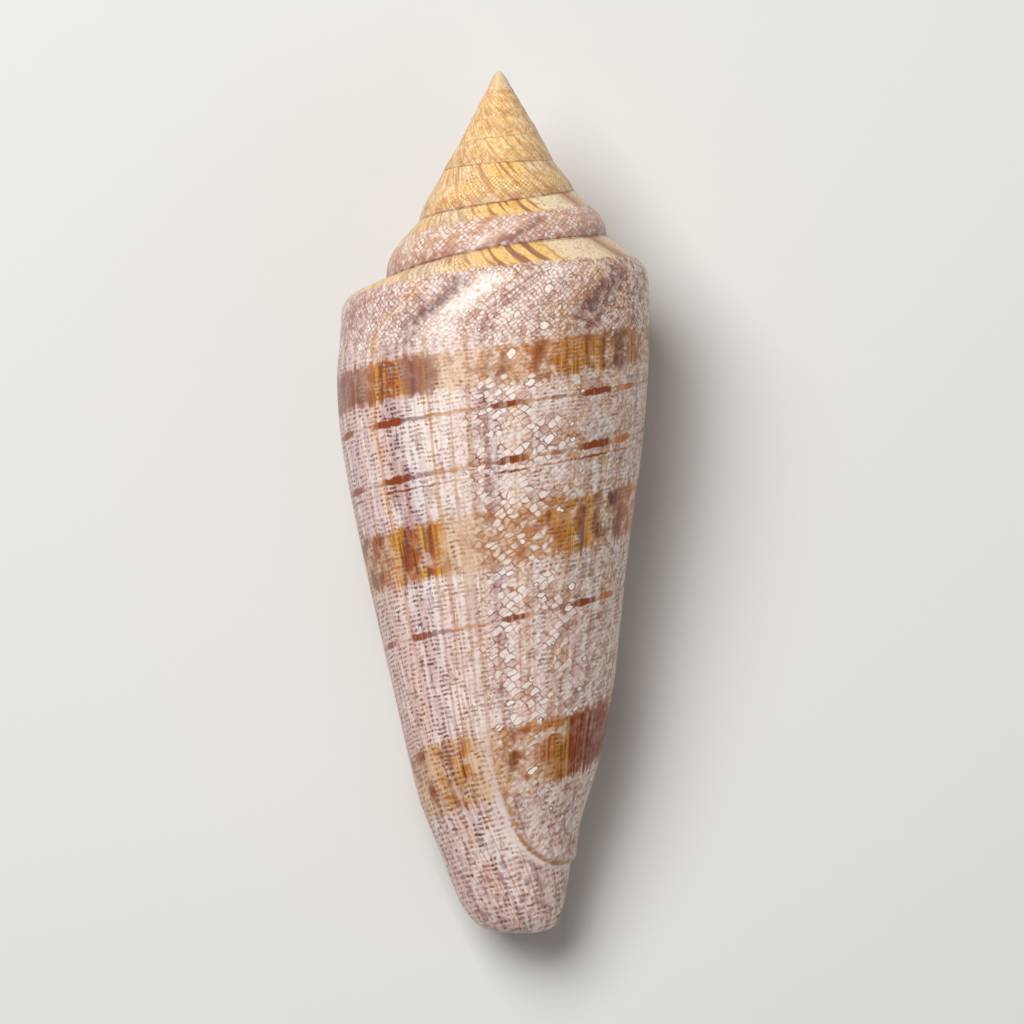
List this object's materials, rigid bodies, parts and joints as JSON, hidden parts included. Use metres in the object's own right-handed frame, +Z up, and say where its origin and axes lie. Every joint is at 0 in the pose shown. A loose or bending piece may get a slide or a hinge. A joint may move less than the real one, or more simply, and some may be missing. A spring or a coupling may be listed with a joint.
{
  "type": "cone shell",
  "caption": "Tall slender cone shell with a stepped pointed spire, squared shoulder and long narrow mouth, lying mouth down.",
  "frame": {"origin": "middle of the shell's box, on the surface that it lies on", "axes": "+Y along the shell to the tip of the spire, +Z up, away from the mouth, +X to the right with the spire pointing ahead"},
  "size_m": [0.0404, 0.1094, 0.0367],
  "materials": {
    "shell": "gloss"
  },
  "bodies": {
    "root": {"shell": "shell"}
  },
  "joints": []
}
